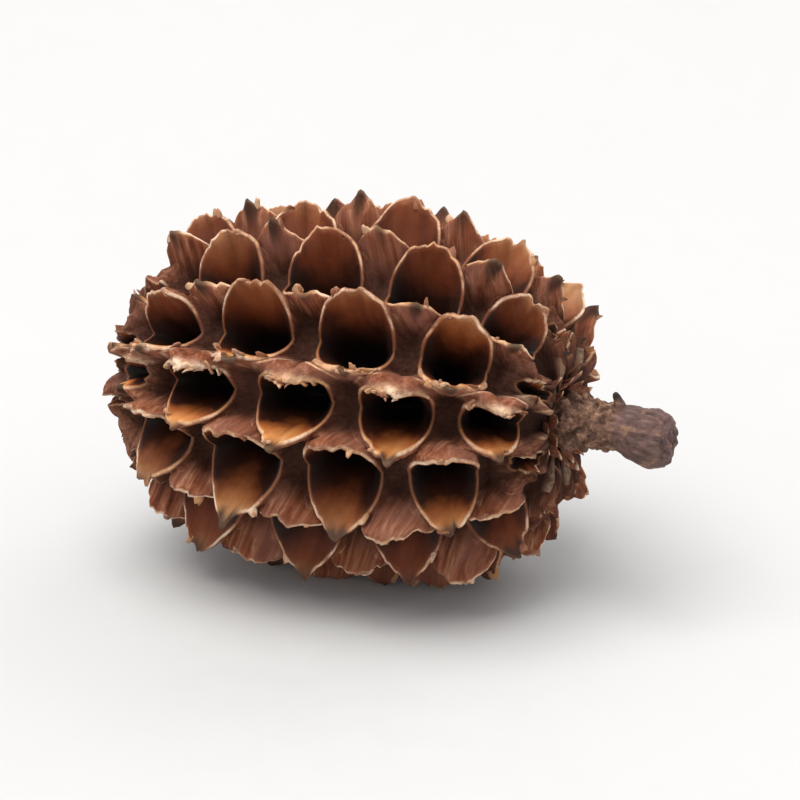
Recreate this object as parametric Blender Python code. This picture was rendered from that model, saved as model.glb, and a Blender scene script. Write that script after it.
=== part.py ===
"""A casuarina (she-oak) cone lying on its side, with the stub of stalk that it broke off with.

Units are metres and +Z is up. The cone's own axis runs along X, with the stalk at +X and the tip of the
cone at -X. The origin is on the surface that the cone lies on, under the middle of its box.

The cone is a barrel with whorls of fruits, and each whorl is half a step round from the last. Every
fruit is a deep pocket between two thin pointed lips, one either way round the barrel. The barrel's skin
is laid out in lattice units: one unit of u is the step from whorl to whorl, counted from the stalk, and
one unit of v is half the step from fruit to fruit round a whorl.
"""

import math
import random

import bmesh
import bpy
from mathutils import Matrix, Vector

MM = 0.001
SEED = 11

# The barrel that the lips stand on, and how full its stalk end is against its tip end.
BARREL_HALF_LENGTH = 13.7 * MM
BARREL_RADIUS = 7.6 * MM
BARREL_POWER = 2.25
STALK_END_FULLNESS = 0.09

# The whorls. Those at the two ends bear small closed scales instead of fruits.
WHORLS = 11
CLOSED_WHORLS = (0, 9, 10)
FRUITS_PER_WHORL = 7
HALF_STEPS_ROUND = 2 * FRUITS_PER_WHORL
LATTICE_KEYS_PER_UNIT = 60

# The cone lies rolled this far round its own axis, so that lips on both sides of row 0 carry it.
ROLL = math.radians(-1.6)

# The arcs left free at the poles of the barrel, and how much wider apart the middle whorls are.
STALK_END_ARC = 2.6 * MM
TIP_END_ARC = 1.6 * MM
MIDDLE_STRETCH = 0.24

# A fruit's cell is a hexagon in lattice units, with two of its corners round the barrel.
CELL_TIP = 0.65
CELL_SHORT_EDGE = 0.35
CELL_POINTS = 16
VALLEY_HEIGHT = 0.8 * MM
WEB_HEIGHT = 2.7 * MM

# The two lips of a fruit, over the barrel's skin.
LIP_HEIGHT = 4.3 * MM
LIP_SHARPNESS = 2.4
LIP_FULLNESS = 0.55
NOTCH_HEIGHT = 1.4 * MM
LIP_THICKNESS = 0.62 * MM
MOUTH_HALF_LENGTH = 0.76
MOUTH_HALF_WIDTH = 0.54
MOUTH_POWER = 2.5
POCKET_DEPTH = 3.0 * MM
POCKET_SHARE_OF_RADIUS = 0.38
HEIGHT_SPREAD = 0.12
WIDTH_SPREAD = 0.04
LEAN_SPREAD = 0.07
END_LIP_SHARE = 0.55
END_VALLEY_SHARE = 0.35

# How far in from the rim the other rings of a fruit are, as shares of the mouth's size.
OUTER_RING_SHARE = 0.98
INNER_RING_SHARE = 0.93
INNER_RING_HEIGHT_SHARE = 0.35
FLOOR_SHARE = 0.72
LEAST_INSET_SHARE = 0.2

# A closed scale, with a shoulder and a blunt top.
CLOSED_SCALE_HEIGHT = 2.6 * MM
CLOSED_SHOULDER_SHARE = 0.95
CLOSED_SHOULDER_HEIGHT_SHARE = 0.6
CLOSED_TOP_SHARE = 0.4

# The blunt point at the tip end stands this far out of the barrel.
TIP_POINT = 0.5 * MM

# The stalk, and the socket that its root stands in.
SOCKET_RADIUS = 2.0 * MM
SOCKET_DEPTH = 2.0 * MM
STALK_GAP = 0.35 * MM
STALK_LENGTH = 9.0 * MM
STALK_ROOT = BARREL_HALF_LENGTH - SOCKET_DEPTH + STALK_GAP
STALK_SIDES_RESOLUTION = 4

# The worn stubs of scales round the stalk's neck, and the foot of a side twig.
GRAINS = 26
GRAIN_RADIUS = 0.44 * MM
GRAINS_FROM = STALK_ROOT + 2.45 * MM
GRAINS_TO = STALK_ROOT + 5.15 * MM
GRAIN_REACH = 1.36 * MM
TWIG_PLACE = (STALK_ROOT + 5.35 * MM, 0.1 * MM, 1.75 * MM)
TWIG_LENGTH = 2.2 * MM
TWIG_FOOT_RADIUS = 0.62 * MM
TWIG_TIP_RADIUS = 0.24 * MM
TWIG_TILT = (0.15, -0.3, 0.0)

# The lowest lips are worn flat by this much, where the cone lies on them.
REST_CUT = 0.9 * MM

HEAD_COLOUR = (0.27, 0.135, 0.062, 1.0)
STALK_COLOUR = (0.115, 0.075, 0.058, 1.0)


def clear_scene():
    for thing in list(bpy.data.objects):
        bpy.data.objects.remove(thing)


def new_collection(name):
    collection = bpy.data.collections.new(name)
    bpy.context.scene.collection.children.link(collection)
    return collection


def material(name, colour, roughness):
    made = bpy.data.materials.new(name)
    made.use_nodes = True
    shader = made.node_tree.nodes["Principled BSDF"]
    shader.inputs["Base Color"].default_value = colour
    shader.inputs["Roughness"].default_value = roughness
    shader.inputs["Metallic"].default_value = 0.0
    return made


def object_from(bm, name, collection):
    mesh = bpy.data.meshes.new(name)
    bm.to_mesh(mesh)
    bm.free()
    made = bpy.data.objects.new(name, mesh)
    collection.objects.link(made)
    return made


def barrel_outline():
    """Points (arc from the stalk's pole, x, radius) along the barrel's profile, stalk end first."""
    steps = 720
    points = []
    arc = 0.0
    for i in range(steps + 1):
        turn = math.pi * i / steps
        across = math.cos(turn)
        x = BARREL_HALF_LENGTH * math.copysign(abs(across) ** (2 / BARREL_POWER), across)
        fullness = 1 + STALK_END_FULLNESS * x / BARREL_HALF_LENGTH
        radius = BARREL_RADIUS * fullness * math.sin(turn) ** (2 / BARREL_POWER)
        if points:
            arc += math.hypot(x - points[-1][1], radius - points[-1][2])
        points.append((arc, x, radius))
    return points


OUTLINE = barrel_outline()


def outline_at(arc):
    """(x, radius, normal along x, normal outwards) of the barrel's profile at this arc length."""
    low, high = 0, len(OUTLINE) - 1
    while high - low > 1:
        middle = (low + high) // 2
        low, high = (middle, high) if OUTLINE[middle][0] < arc else (low, middle)
    (arc_0, x_0, r_0), (arc_1, x_1, r_1) = OUTLINE[low], OUTLINE[high]
    share = (arc - arc_0) / (arc_1 - arc_0)
    run, rise = (x_1 - x_0) / (arc_1 - arc_0), (r_1 - r_0) / (arc_1 - arc_0)
    return x_0 + share * (x_1 - x_0), r_0 + share * (r_1 - r_0), rise, -run


def whorl_arc(u):
    """Arc length of lattice place u. The whorls are further apart in the middle than at the ends."""
    share = (u + 1) / (WHORLS + 1)
    eased = share - MIDDLE_STRETCH * math.sin(2 * math.pi * share) / (2 * math.pi)
    return STALK_END_ARC + eased * (OUTLINE[-1][0] - STALK_END_ARC - TIP_END_ARC)


def skin_point(u, v, height):
    """The point this high over the barrel's skin at lattice place (u, v). Row 0 runs along the bottom."""
    x, radius, along, outwards = outline_at(whorl_arc(u))
    turn = 2 * math.pi * v / HALF_STEPS_ROUND - math.pi / 2 + ROLL
    reach = radius + height * outwards
    return Vector((x + height * along, reach * math.cos(turn), reach * math.sin(turn)))


def end_fade(u, at_ends):
    """A factor that is 1 along the middle of the barrel and falls to this value at its ends."""
    return 1 - (1 - at_ends) * abs(2 * (u + 1) / (WHORLS + 1) - 1) ** 4


def cell_edge(i):
    """(du, dv, height) of point i of a cell's hexagon. Point 0 is at +u and point 4 is at +v."""
    turn = 2 * math.pi * i / CELL_POINTS
    step = abs((i + 4) % 8 - 4)
    share = max(0, step - 1) / 3
    du = math.copysign(1 - share, math.cos(turn)) if step < 4 else 0.0
    dv = CELL_SHORT_EDGE + (CELL_TIP - CELL_SHORT_EDGE) * share if step else 0.0
    height = WEB_HEIGHT if step in (2, 3) else VALLEY_HEIGHT
    return du, math.copysign(dv, math.sin(turn)), height


def mouth_edge(i, length, width):
    """(du, dv) of point i of a mouth: a full oval that nearly fills its cell."""
    turn = 2 * math.pi * i / CELL_POINTS
    du, dv = math.cos(turn), math.sin(turn)
    reach = (abs(du / length) ** MOUTH_POWER + abs(dv / width) ** MOUTH_POWER) ** (-1 / MOUTH_POWER)
    return du * reach, dv * reach


class Fruit:
    """One fruit of a whorl, whose two lips each have their own chance height, width and lean."""

    def __init__(self, whorl, place, chance):
        self.u = whorl
        self.v = 2 * place + (whorl + 1) % 2
        self.closed = whorl in CLOSED_WHORLS
        size = end_fade(whorl, END_LIP_SHARE)
        radius = outline_at(whorl_arc(whorl))[1]
        self.step = whorl_arc(whorl + 0.5) - whorl_arc(whorl - 0.5)
        self.half_turn = math.pi * radius / FRUITS_PER_WHORL
        self.depth = min(POCKET_DEPTH, POCKET_SHARE_OF_RADIUS * radius)
        self.heights = [size * chance.uniform(1 - HEIGHT_SPREAD, 1 + HEIGHT_SPREAD) for _ in range(2)]
        self.widths = [chance.uniform(1 - WIDTH_SPREAD, 1 + WIDTH_SPREAD) for _ in range(2)]
        self.leans = [chance.uniform(-LEAN_SPREAD, LEAN_SPREAD) for _ in range(2)]

    def lip(self, i):
        """How much of a lip's height the rim has at point i: 0 at the notches and 1 at the tips."""
        towards_notch = min(1.0, abs(math.cos(2 * math.pi * i / CELL_POINTS)))
        return (1 - towards_notch**LIP_SHARPNESS) ** LIP_FULLNESS

    def rim_height(self, i):
        side = 0 if i < CELL_POINTS // 2 else 1
        notch = NOTCH_HEIGHT * end_fade(self.u, END_LIP_SHARE)
        return notch + (LIP_HEIGHT * self.heights[side] - notch) * self.lip(i)

    def outer_height(self, i):
        """The height half-way up the outside of the lips."""
        return 0.5 * (cell_edge(i)[2] * end_fade(self.u, END_VALLEY_SHARE) + self.rim_height(i))

    def ring(self, i, scale, height, inset=0.0):
        """Point i of a ring round the mouth, scaled in towards its middle and then inset by a wall."""
        side = 0 if i < CELL_POINTS // 2 else 1
        du, dv = mouth_edge(i, MOUTH_HALF_LENGTH * scale, MOUTH_HALF_WIDTH * scale * self.widths[side])
        wide = math.hypot(du * self.step, dv * self.half_turn)
        keep = max(LEAST_INSET_SHARE, 1 - inset / wide)
        lean = self.leans[side] * self.lip(i) * max(0.0, height) / LIP_HEIGHT
        return skin_point(self.u + du * keep + lean, self.v + dv * keep, height)

    def rings(self):
        """For each ring from the cell's edge in to the pocket's floor, a function from i to its point."""
        top = CLOSED_SCALE_HEIGHT
        low_wall = INNER_RING_HEIGHT_SHARE
        if self.closed:
            return [
                lambda i: self.ring(i, CLOSED_SHOULDER_SHARE, CLOSED_SHOULDER_HEIGHT_SHARE * top),
                lambda i: self.ring(i, CLOSED_TOP_SHARE, top * self.heights[0]),
            ]
        return [
            lambda i: self.ring(i, OUTER_RING_SHARE, self.outer_height(i)),
            lambda i: self.ring(i, 1.0, self.rim_height(i)),
            lambda i: self.ring(i, 1.0, self.rim_height(i), LIP_THICKNESS),
            lambda i: self.ring(i, INNER_RING_SHARE, low_wall * self.rim_height(i), LIP_THICKNESS),
            lambda i: self.ring(i, FLOOR_SHARE, -self.depth, LIP_THICKNESS),
        ]


def cell_faces(bm, fruits):
    """A face for each fruit's hexagon, with the points that neighbours share made once."""
    shared = {}
    faces = []
    keys_round = LATTICE_KEYS_PER_UNIT * HALF_STEPS_ROUND
    for fruit in fruits:
        corners = []
        for i in range(CELL_POINTS):
            du, dv, height = cell_edge(i)
            u, v = fruit.u + du, fruit.v + dv
            key = (round(LATTICE_KEYS_PER_UNIT * u), round(LATTICE_KEYS_PER_UNIT * v) % keys_round)
            if key not in shared:
                shared[key] = bm.verts.new(skin_point(u, v, height * end_fade(u, END_VALLEY_SHARE)))
            corners.append(shared[key])
        faces.append(bm.faces.new(corners))
    return faces


def raise_fruit(bm, face, fruit):
    """Extrudes a cell's face ring by ring: up the outside of the lips, over the rim and down the pocket."""
    for ring in fruit.rings():
        face = bmesh.ops.extrude_discrete_faces(bm, faces=[face])["faces"][0]
        for i, vert in enumerate(face.verts):
            vert.co = ring(i)


def open_loop(bm, at_stalk):
    """The edges of the open loop at one end of the barrel."""
    return [e for e in bm.edges if e.is_boundary and (e.verts[0].co.x > 0) == at_stalk]


def extrude_loop(bm, edges, x, radius):
    """Extrudes an open loop onto a circle round the axis, or onto the axis itself."""
    made = bmesh.ops.extrude_edge_only(bm, edges=edges)["geom"]
    for vert in (g for g in made if isinstance(g, bmesh.types.BMVert)):
        turn = math.atan2(vert.co.z, vert.co.y)
        vert.co = (x, radius * math.cos(turn), radius * math.sin(turn))
    return [g for g in made if isinstance(g, bmesh.types.BMEdge)]


def close_ends(bm):
    """A socket for the stalk at one end, and a blunt point at the other."""
    edges = extrude_loop(bm, open_loop(bm, True), BARREL_HALF_LENGTH, SOCKET_RADIUS)
    edges = extrude_loop(bm, edges, BARREL_HALF_LENGTH - SOCKET_DEPTH, SOCKET_RADIUS)
    bmesh.ops.contextual_create(bm, geom=edges)
    edges = extrude_loop(bm, open_loop(bm, False), -BARREL_HALF_LENGTH - TIP_POINT, 0.0)
    verts = list({vert for edge in edges for vert in edge.verts})
    bmesh.ops.pointmerge(bm, verts=verts, merge_co=verts[0].co.copy())


def cone_head(collection, look):
    chance = random.Random(SEED)
    fruits = [Fruit(w, p, chance) for w in range(WHORLS) for p in range(FRUITS_PER_WHORL)]
    bm = bmesh.new()
    for face, fruit in zip(cell_faces(bm, fruits), fruits):
        raise_fruit(bm, face, fruit)
    close_ends(bm)
    bmesh.ops.recalc_face_normals(bm, faces=bm.faces)
    head = object_from(bm, "cone_head", collection)
    head.data.materials.append(look)
    return head


def stalk_line():
    """Points (x, y, z, radius) along the stalk, from its root in the socket to its broken end.

    Each row gives a share of the stalk's length, the drift from the cone's axis and the thickness.
    """
    shape = [
        (0.00, 0.00, 0.00, 1.45),
        (0.24, 0.00, 0.00, 1.50),
        (0.35, 0.03, 0.04, 1.42),
        (0.47, 0.10, 0.02, 1.38),
        (0.59, 0.15, -0.06, 1.42),
        (0.70, 0.12, -0.18, 1.64),
        (0.84, 0.00, -0.32, 1.84),
        (0.95, -0.10, -0.42, 1.62),
        (1.00, -0.14, -0.46, 1.05),
    ]
    return [(STALK_ROOT + share * STALK_LENGTH, y * MM, z * MM, r * MM) for share, y, z, r in shape]


def curve_mesh(curve, name, collection):
    """A closed mesh object from a curve, with its end caps welded to its sides."""
    line = bpy.data.objects.new("stalk_line", curve)
    collection.objects.link(line)
    graph = bpy.context.evaluated_depsgraph_get()
    mesh = bpy.data.meshes.new_from_object(line.evaluated_get(graph))
    bpy.data.objects.remove(line)
    bm = bmesh.new()
    bm.from_mesh(mesh)
    bpy.data.meshes.remove(mesh)
    bmesh.ops.remove_doubles(bm, verts=bm.verts, dist=0.001 * MM)
    return object_from(bm, name, collection)


def add_grains(collection):
    """The worn stubs of scales round the stalk's neck, with their roots sunk in it."""
    chance = random.Random(SEED)
    golden_turn = math.pi * (3 - math.sqrt(5))
    for i in range(GRAINS):
        x = GRAINS_FROM + (GRAINS_TO - GRAINS_FROM) * (i + 0.5) / GRAINS
        turn = i * golden_turn + chance.uniform(-0.25, 0.25)
        bm = bmesh.new()
        bmesh.ops.create_icosphere(bm, subdivisions=1, radius=GRAIN_RADIUS * chance.uniform(0.8, 1.25))
        bmesh.ops.scale(bm, vec=(1.25, 0.9, 0.9), verts=bm.verts)
        grain = object_from(bm, "grain", collection)
        grain.location = (x, GRAIN_REACH * math.cos(turn), GRAIN_REACH * math.sin(turn))


def add_twig(collection):
    """The broken foot of a side twig on the stalk."""
    bm = bmesh.new()
    bmesh.ops.create_cone(
        bm,
        cap_ends=True,
        segments=7,
        radius1=TWIG_FOOT_RADIUS,
        radius2=TWIG_TIP_RADIUS,
        depth=TWIG_LENGTH,
    )
    twig = object_from(bm, "twig", collection)
    twig.rotation_euler = TWIG_TILT
    twig.location = TWIG_PLACE


def join_into(target, collection):
    """Joins a collection's objects into the target by one Boolean union, and removes them."""
    union = target.modifiers.new("join", "BOOLEAN")
    union.operation = "UNION"
    union.operand_type = "COLLECTION"
    union.collection = collection
    union.solver = "EXACT"
    bpy.context.view_layer.objects.active = target
    bpy.ops.object.modifier_apply(modifier=union.name)
    for thing in list(collection.objects):
        bpy.data.objects.remove(thing)
    bpy.data.collections.remove(collection)


def stalk(collection, look):
    curve = bpy.data.curves.new("stalk_line", "CURVE")
    curve.dimensions = "3D"
    curve.bevel_depth = 1.0
    curve.bevel_resolution = STALK_SIDES_RESOLUTION
    curve.use_fill_caps = True
    points = stalk_line()
    spline = curve.splines.new("POLY")
    spline.points.add(len(points) - 1)
    for point, (x, y, z, radius) in zip(spline.points, points):
        point.co = (x, y, z, 1.0)
        point.radius = radius
    stem = curve_mesh(curve, "stalk", collection)
    scraps = new_collection("stalk_scraps")
    add_grains(scraps)
    add_twig(scraps)
    join_into(stem, scraps)
    stem.data.materials.clear()
    stem.data.materials.append(look)
    return stem


def set_down(things):
    """Moves the parts so that the middle of their box is over the origin and the lowest lips are trimmed."""
    points = [vert.co for thing in things for vert in thing.data.vertices]
    low = [min(point[k] for point in points) for k in range(3)]
    high = [max(point[k] for point in points) for k in range(3)]
    shift = Vector((-(low[0] + high[0]) / 2, -(low[1] + high[1]) / 2, -low[2] - REST_CUT))
    for thing in things:
        thing.data.transform(Matrix.Translation(shift))


def trim_at_ground(head, cutters):
    """Cuts the tips of the lowest lips off flat, at the surface that the cone lies on."""
    side, deep = 80 * MM, 10 * MM
    bm = bmesh.new()
    bmesh.ops.create_cube(bm, size=1.0)
    bmesh.ops.scale(bm, vec=(side, side, deep), verts=bm.verts)
    bmesh.ops.translate(bm, vec=(0, 0, -deep / 2), verts=bm.verts)
    cutter = object_from(bm, "ground_cutter", cutters)
    cutter.hide_render = True
    cutter.display_type = "WIRE"
    trim = head.modifiers.new("trim_at_ground", "BOOLEAN")
    trim.operation = "DIFFERENCE"
    trim.object = cutter
    trim.solver = "EXACT"


def build():
    clear_scene()
    parts = new_collection("casuarina_cone")
    cutters = new_collection("cutters")
    head = cone_head(parts, material("cone_brown", HEAD_COLOUR, 0.72))
    stem = stalk(parts, material("stalk_brown", STALK_COLOUR, 0.85))
    set_down([head, stem])
    trim_at_ground(head, cutters)


build()
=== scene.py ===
"""The looks of a casuarina (she-oak) cone lying on its side, round the solids of its CAD model.

The cone's skin is laid out in lattice units, the same as in the CAD: one unit of u is the step from whorl
to whorl, counted from the stalk, and one unit of v is half the step from fruit to fruit round a whorl.
Shapes are worked out in millimetres in the barrel's own frame, and then placed in the row frame.
"""

import math
import random

import bmesh
import bpy
from mathutils import Matrix, Vector, noise


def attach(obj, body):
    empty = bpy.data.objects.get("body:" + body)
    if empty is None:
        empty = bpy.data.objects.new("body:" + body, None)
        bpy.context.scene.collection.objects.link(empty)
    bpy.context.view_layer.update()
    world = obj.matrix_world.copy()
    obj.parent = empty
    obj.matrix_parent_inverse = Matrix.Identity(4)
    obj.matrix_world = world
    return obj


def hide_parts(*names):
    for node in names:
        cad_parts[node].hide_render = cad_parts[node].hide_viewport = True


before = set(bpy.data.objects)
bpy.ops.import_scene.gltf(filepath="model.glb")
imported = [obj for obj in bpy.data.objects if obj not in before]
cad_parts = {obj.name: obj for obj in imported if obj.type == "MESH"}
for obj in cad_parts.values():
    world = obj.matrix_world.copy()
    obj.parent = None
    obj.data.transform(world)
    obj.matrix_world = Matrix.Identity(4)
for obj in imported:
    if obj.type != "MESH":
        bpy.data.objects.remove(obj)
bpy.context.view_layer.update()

MM = 0.001

# The barrel and the fruits on its lattice, in millimetres and lattice units, as in the CAD.
SEED = 11
BARREL_HALF_LENGTH = 13.7
BARREL_RADIUS = 7.6
BARREL_POWER = 2.25
STALK_END_FULLNESS = 0.09
WHORLS = 11
CLOSED_WHORLS = (0, 9, 10)
FRUITS_PER_WHORL = 7
HALF_STEPS_ROUND = 2 * FRUITS_PER_WHORL
ROLL = math.radians(-1.6)
OUTLINE_STEPS = 720
STALK_END_ARC = 2.6
TIP_END_ARC = 1.6
MIDDLE_STRETCH = 0.24
CELL_TIP = 0.65
CELL_SHORT_EDGE = 0.35
VALLEY_HEIGHT = 0.8
WEB_HEIGHT = 2.7
LIP_HEIGHT = 4.3
NOTCH_HEIGHT = 1.4
MOUTH_HALF_LENGTH = 0.76
MOUTH_HALF_WIDTH = 0.54
MOUTH_POWER = 2.5
POCKET_DEPTH = 3.0
POCKET_SHARE_OF_RADIUS = 0.38
HEIGHT_SPREAD = 0.12
WIDTH_SPREAD = 0.04
LEAN_SPREAD = 0.07
END_LIP_SHARE = 0.55
END_VALLEY_SHARE = 0.35
CLOSED_SCALE_HEIGHT = 2.6
SOCKET_RADIUS = 2.0
SOCKET_DEPTH = 2.0
TIP_POINT = 0.5

# Where the barrel's own frame stands in the row frame.
BARREL_PLACE = Vector((-3.2339, 0.0063, 11.2989))

# How finely a fruit is drawn: points round its mouth, how finely the places of points that cells share
# are told apart, and where its rings lie. A share runs from the cell's edge to the rim outside the lips,
# from the pocket's mouth to the rim inside them, and from the pocket's mouth to its floor in the pocket.
POINTS_ROUND = 64
KEYS_PER_UNIT = 1200
OUTER_SHARES = (0.0, 0.16, 0.34, 0.52, 0.70, 0.86, 0.96)
INNER_SHARES = (0.97, 0.90, 0.78, 0.62, 0.44, 0.24, 0.0)
POCKET_SHARES = (0.3, 0.65, 0.9, 1.0)

# The rows at the camera's side lie a little higher than an even lattice puts them.
NUDGED_ROW = 10.4
NUDGE_WIDTH = 1.1
ROW_NUDGE = 0.16

# The shape of a lip. A pair gives the lip at +v first and the lip at -v second.
LIP_SHARPNESS = (1.9, 2.7)
LIP_FULLNESS = (0.72, 0.5)
RIM_THICKNESS = 0.22
FOOT_THICKNESS = 0.6
CROWN_HEIGHT = 0.05
LIP_BULGE = 0.3
BEAK_HEIGHT = 0.35
BEAK_WIDTH = 0.17
CELL_FILL = 0.985
MOUTH_SHARE = 0.93
FLOOR_SHARE = 0.72
FLOOR_DEPTH = 1.03
FLOOR_INSET = 0.9

# The chance of a lip: the ranges that its beak, hook, bulge, golden share and torn nicks come from. The
# golden share is partly the lip's own tone and partly painted light: the +v lip is painted as lit, the -v
# lip as in shade.
BEAK_RANGES = ((0.6, 1.3), (0.0, 0.45))
HOOK_RANGES = ((0.1, 0.6), (-0.2, 0.2))
BULGE_RANGE = (0.6, 1.3)
GOLD_AND_PAINTED_LIGHT_RANGES = ((0.6, 1.0), (0.0, 0.4))
NICK_SIDES = (0, 0, 1)
NICK_COUNTS = (0, 1, 1)
NICK_TURN_RANGE = (-1.0, 1.0)
NICK_WIDTH_RANGE = (0.06, 0.14)
NICK_DEPTH_RANGE = (0.1, 0.45)

# Lips near the floor get painted shade: they are less golden and have broad dark tips.
# Those near the stalk are more golden.
LOW_ROWS = (2.6, 3.4)
LOW_PAINTED_SHADE = 0.8
TIP_WIDTHS = (1.6, 2.6)
STALK_END_WHORLS = (0.5, 3.5)
STALK_END_GOLD = 0.35

# The waves and tears of a rim: rows of (how far, how fine, its own place in the noise).
RIM_TEARS = ((0.14, 5.5, 3.0), (0.07, 14.0, 9.0))
RIM_DRIFT = (0.25, 1.7, 40.0)
RIM_DRIFT_LIMIT = 0.3
RIM_WAVE = (0.16, 2.6, 20.0)
CLOSED_RIM_TEARS = ((0.35, 3.0, 3.0), (0.2, 9.0, 9.0))
RIPPLE_GAIN = 1.6
WEB_UNEVEN = 0.4

# The slits of the fruits that are all but shut. One whorl of them gapes more than the others.
SLIT_HALF_LENGTH = 0.56
SLIT_HALF_WIDTH = 0.15
SLIT_GAPE = 0.8
HALF_OPEN_WHORL = 9
HALF_OPEN_GAPE = 0.7
CLOSED_RIM_SHARE = 0.62

# Inside a fruit that is all but shut: how wide the slit is and the share of the rim's height, first at the
# pocket's mouth and then at the rim, and for the pocket first at its mouth and then at its floor.
CLOSED_CROWN_WIDTH = 0.9
CLOSED_INNER_WIDTHS = (0.45, 0.8)
CLOSED_INNER_HEIGHTS = (0.55, 1.0)
CLOSED_POCKET_WIDTHS = (0.45, 0.2)
CLOSED_POCKET_HEIGHTS = (0.55, 0.25)
CLOSED_FLOOR_SHARE = 0.2

# The crest that runs along the cone: its rims and webs are painted pale, partly as wear and partly as
# painted highlight on the ledge that faces the light, and its lips lean over their mouths.
CREST_ROW = 9.5
CREST_WIDTH = 0.6
CREST_OVERHANG = 0.9
CREST_RAISE = 0.7
RIDGE_SHADES = (0.5, 1.0)
RIDGE_REACHES = (0.03, 0.3)
RIM_REACHES = (0.06, 0.9)

# How softly the lips that the cone lies on are pressed blunt.
FLOOR_EASE = 0.35

# The torn flakes that stand on the rims, in millimetres and in radians round the mouth.
SHREDS_PER_LIP = 1
CREST_SHREDS_PER_LIP = 9
SHRED_STEPS = 5
SHRED_HEIGHT_LIMIT = 4.7
SHRED_ROOT = 0.3
SHRED_LENGTHS = (0.12, 0.4)
SHRED_CURLS = (-0.25, 0.3)
SHRED_SLANTS = (-0.15, 0.15)
SHRED_WIDTHS = (0.08, 0.22)
SHRED_ENDS = (-0.1, 0.1)
SHRED_THICKNESS = (0.08, 0.04)
SHRED_NARROWING = 0.6

# The small scales at the two ends. The lengths that shape a scale are shares of its size.
SCALE_STEPS = 7
SCALE_SIDES = 12
SCALE_SIZES = (0.75, 1.2)
SCALE_LENGTH = 1.3
SCALE_BENDS = (0.2, 0.8)
SCALE_WIDTHS = (0.4, 0.7)
SCALE_THICKNESS = (0.26, 0.07)
SCALE_CUP = 0.35
SCALE_CRUMPLE = 0.14

# Rings of small scales: (count, distance from the axis, distance along it, size).
TIP_SCALE_RINGS = ((3, 0.3, 14.0, 0.7), (6, 1.0, 13.85, 0.8), (8, 1.9, 13.65, 0.9), (9, 2.8, 13.35, 1.0))
STALK_SCALE_RINGS = ((12, 2.15, 13.6, 0.75), (9, 2.8, 13.45, 0.75))

# The stalk: shares of its length with its drift from the axis and its thickness, as in the CAD.
STALK_LENGTH = 9.0
STALK_ROOT = 12.05
STALK_ROWS = (
    (0.00, 0.00, 0.00, 1.45),
    (0.24, 0.00, 0.00, 1.50),
    (0.35, 0.03, 0.04, 1.42),
    (0.47, 0.10, 0.02, 1.38),
    (0.59, 0.15, -0.06, 1.42),
    (0.70, 0.12, -0.18, 1.64),
    (0.84, 0.00, -0.32, 1.84),
    (0.95, -0.10, -0.42, 1.62),
    (1.00, -0.14, -0.46, 1.05),
)
STALK_RINGS = 60
STALK_SIDES = 40
STALK_VOXEL = 0.085
STALK_LUMPS = 0.07
STUBS = 90
STUBS_FROM = STALK_ROOT + 1.9
STUBS_TO = STALK_ROOT + 5.3
STUB_SIZE = 0.34
STUB_SIZES = (0.55, 1.25)
STUB_STRETCH = (1.0, 0.75, 1.35)
STUB_LEANS = (0.2, 0.9)
STUB_ROUGHNESS = 0.45
TWIG_PLACE = Vector((STALK_ROOT + 5.35, 0.1, 1.5))
TWIG_LENGTH = 1.7
TWIG_FOOT = 0.55
TWIG_TIP = 0.22
TWIG_TILT = -0.3
TWIG_ROLL = 0.15
FURROW_DEPTH = 0.11
PIT_DEPTH = 0.07
BROKEN_LENGTH = 0.9
SPLINTERS = 0.4
SPLINTER_BASE = -0.2

# The camera at the photograph's angle, the floor and the studio's lights, in metres.
CAMERA_AZIMUTH = 20
CAMERA_ELEVATION = 22
CAMERA_DISTANCE = 0.6
CAMERA_LENS = 440
CAMERA_TARGET = Vector((0.0, 0.0, 0.0112))
FLOOR_HALF_SIDE = 3.0
WORLD_LIGHT = 0.7
LIGHTS_AIM = Vector((0.0, 0.0, 0.011))

# Rows of (name, place, size, power, colour).
LIGHTS = (
    ("top_light", (-0.1, -0.1, 0.5), 0.45, 2.7, (1.0, 0.98, 0.95)),
    ("back_light", (0.15, 0.4, 0.3), 0.3, 0.6, (1.0, 1.0, 1.0)),
)

# Ramps of colour as they show on a screen, from 0 to 255: rows of (place on the ramp, colour).
# Inside the lips the colour darkens down into the pockets to near black: painted shade. The top of the
# golden ramp is painted light on the lit lips, over their golden tone.
INSIDE_PLAIN_PAINTED_SHADE = (
    (0.0, (160, 100, 62)),
    (0.08, (134, 70, 39)),
    (0.28, (108, 51, 26)),
    (0.46, (54, 24, 11)),
    (0.66, (24, 12, 7)),
)
INSIDE_GOLD_PAINTED_LIGHT_AND_SHADE = (
    (0.0, (240, 190, 132)),
    (0.12, (226, 152, 88)),
    (0.28, (184, 104, 52)),
    (0.42, (66, 30, 14)),
    (0.66, (24, 12, 7)),
)
OUTSIDE = (
    (0.28, (82, 39, 22)),
    (0.46, (134, 74, 46)),
    (0.60, (164, 106, 78)),
    (0.74, (204, 154, 120)),
)
BARK = (
    (0.30, (50, 35, 31)),
    (0.48, (92, 68, 62)),
    (0.64, (122, 95, 86)),
    (0.78, (166, 138, 122)),
)
NECK = (
    (0.32, (52, 31, 23)),
    (0.46, (102, 70, 54)),
    (0.58, (140, 104, 82)),
    (0.72, (200, 162, 130)),
)


def barrel_outline():
    """Points (arc from the stalk's pole, x, radius) along the barrel's profile, stalk end first."""
    points = []
    arc = 0.0
    for i in range(OUTLINE_STEPS + 1):
        turn = math.pi * i / OUTLINE_STEPS
        across = math.cos(turn)
        x = BARREL_HALF_LENGTH * math.copysign(abs(across) ** (2 / BARREL_POWER), across)
        fullness = 1 + STALK_END_FULLNESS * x / BARREL_HALF_LENGTH
        radius = BARREL_RADIUS * fullness * math.sin(turn) ** (2 / BARREL_POWER)
        if points:
            arc += math.hypot(x - points[-1][1], radius - points[-1][2])
        points.append((arc, x, radius))
    return points


OUTLINE = barrel_outline()


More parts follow.
